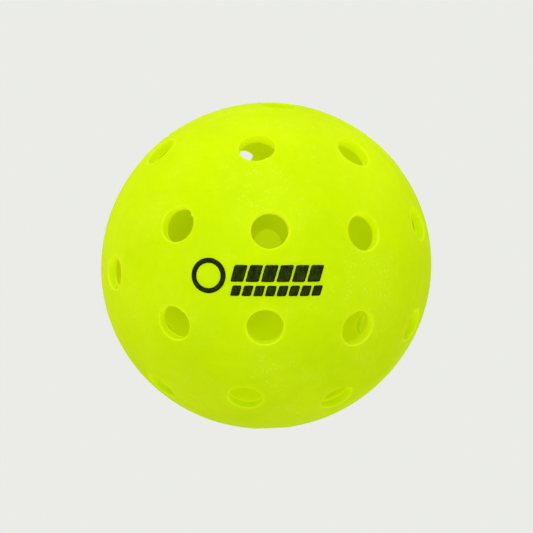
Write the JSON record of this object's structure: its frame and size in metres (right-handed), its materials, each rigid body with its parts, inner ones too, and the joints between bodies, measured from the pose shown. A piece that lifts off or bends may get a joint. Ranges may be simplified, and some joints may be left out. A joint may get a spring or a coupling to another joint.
{
  "type": "pickleball ball",
  "caption": "Hollow plastic ball of two welded half shells, drilled with rings of round holes and printed with a plain mark, for outdoor paddle play.",
  "frame": {"origin": "centre of the ball", "axes": "+Z along the four-fold axis of the hole pattern, from which three holes of each half stray by 0.9 to 3.3 degrees, towards the half that carries the mark, square to the seam plane; +X along the mark from its ring to its rows of dashes; +Y towards the mark's upper side"},
  "size_m": [0.074, 0.074, 0.0741],
  "materials": {
    "shell_plastic": "smooth satin moulded polyethylene, fluorescent lime",
    "bead_plastic": "fused polyethylene, slightly duller",
    "ink": "thin dark pad-printed ink"
  },
  "bodies": {
    "root": {"upper_shell": "shell_plastic", "lower_shell": "shell_plastic", "weld_bead": "bead_plastic", "ink_ring": "ink", "ink_upper_dash_1": "ink", "ink_upper_dash_2": "ink", "ink_upper_dash_3": "ink", "ink_upper_dash_4": "ink", "ink_upper_dash_5": "ink", "ink_upper_dash_6": "ink", "ink_lower_dash_1": "ink", "ink_lower_dash_2": "ink", "ink_lower_dash_3": "ink", "ink_lower_dash_4": "ink", "ink_lower_dash_5": "ink", "ink_lower_dash_6": "ink", "ink_lower_dash_7": "ink", "ink_lower_dash_8": "ink"}
  },
  "joints": []
}
